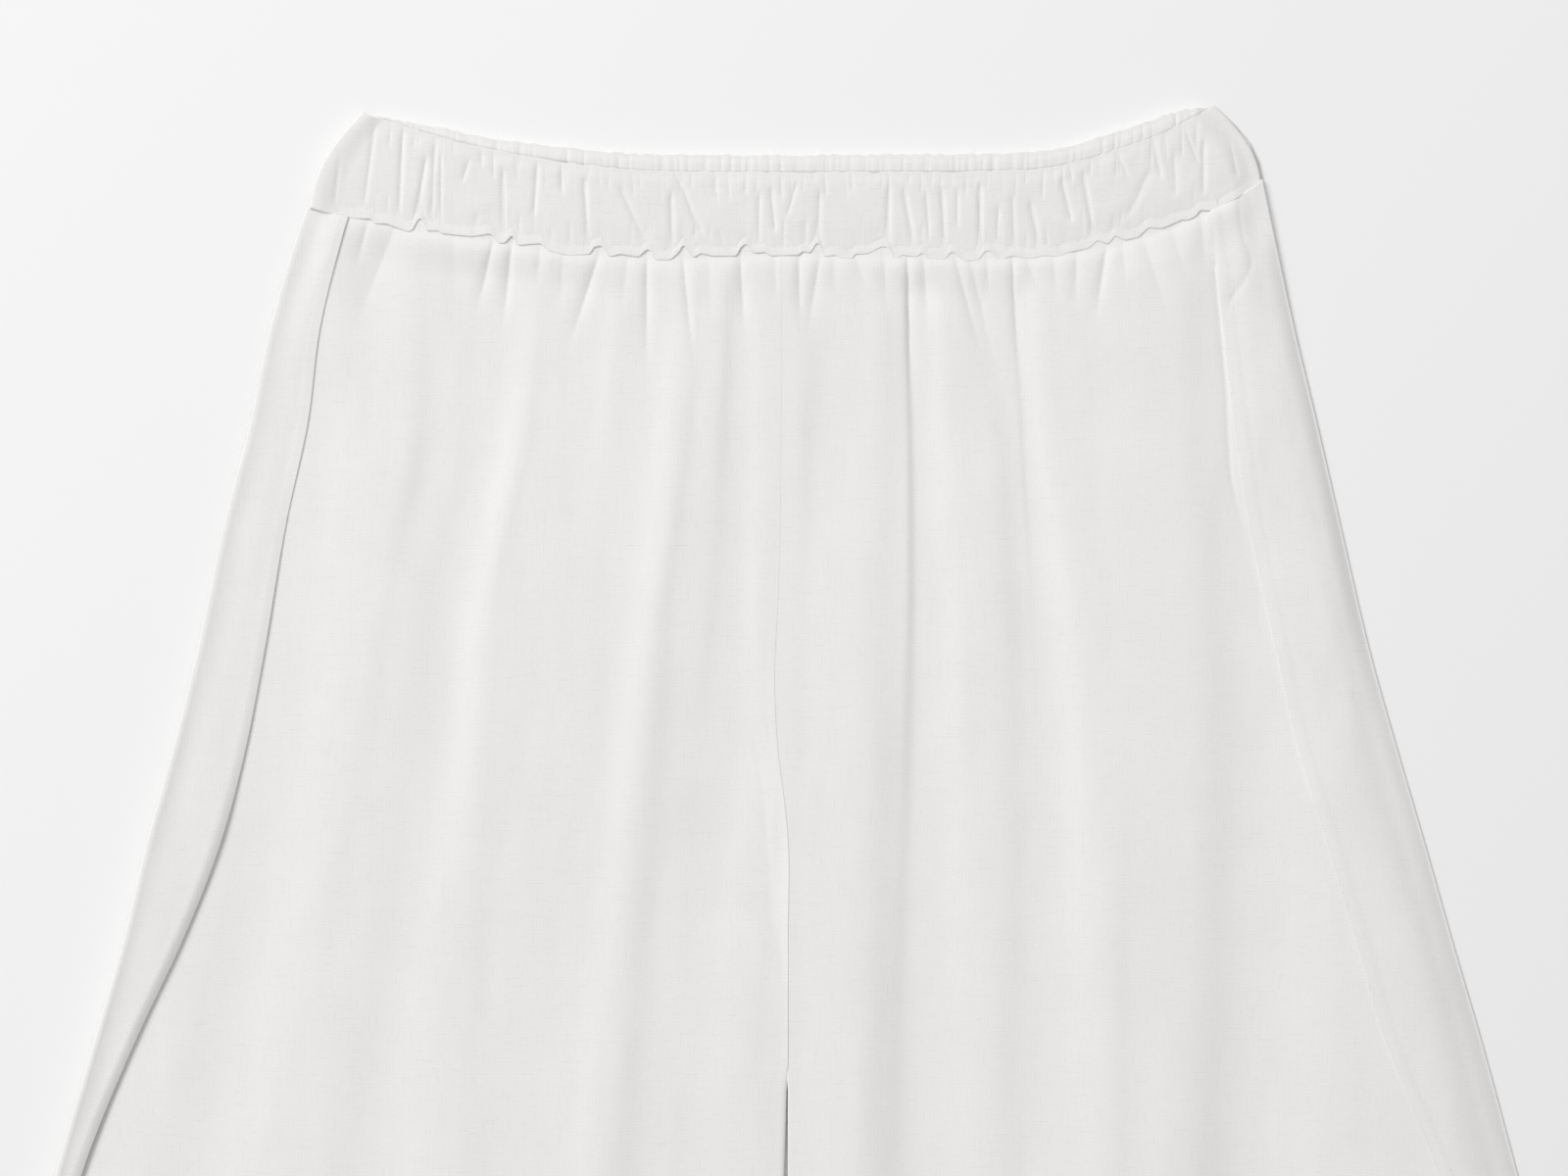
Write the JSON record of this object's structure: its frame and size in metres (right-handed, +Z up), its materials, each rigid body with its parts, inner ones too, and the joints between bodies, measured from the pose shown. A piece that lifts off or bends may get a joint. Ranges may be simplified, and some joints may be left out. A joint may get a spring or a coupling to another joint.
{
  "type": "split leg trousers",
  "caption": "Wide linen trousers laid flat, with a gathered elastic waistband and each leg split along its side, the back panel's hemmed edge lying over the front panel.",
  "frame": {"origin": "middle of the laid-out garment's outline, on the surface that it lies on", "axes": "+Y from the hem to the waist, +X across the garment to the right of the picture, +Z up from the surface to the front side"},
  "size_m": [0.8498, 1.04, 0.0076],
  "materials": {
    "back_panel_left": "matte undyed white linen",
    "back_panel_right": "matte undyed white linen",
    "front_panel_left": "matte undyed white linen",
    "front_panel_right": "matte undyed white linen",
    "waistband_back": "matte undyed white linen",
    "waistband_front": "matte undyed white linen"
  },
  "bodies": {
    "root": {"back_panel_left": "back_panel_left", "back_panel_right": "back_panel_right", "front_panel_left": "front_panel_left", "front_panel_right": "front_panel_right", "waistband_back": "waistband_back", "waistband_front": "waistband_front"}
  },
  "joints": []
}
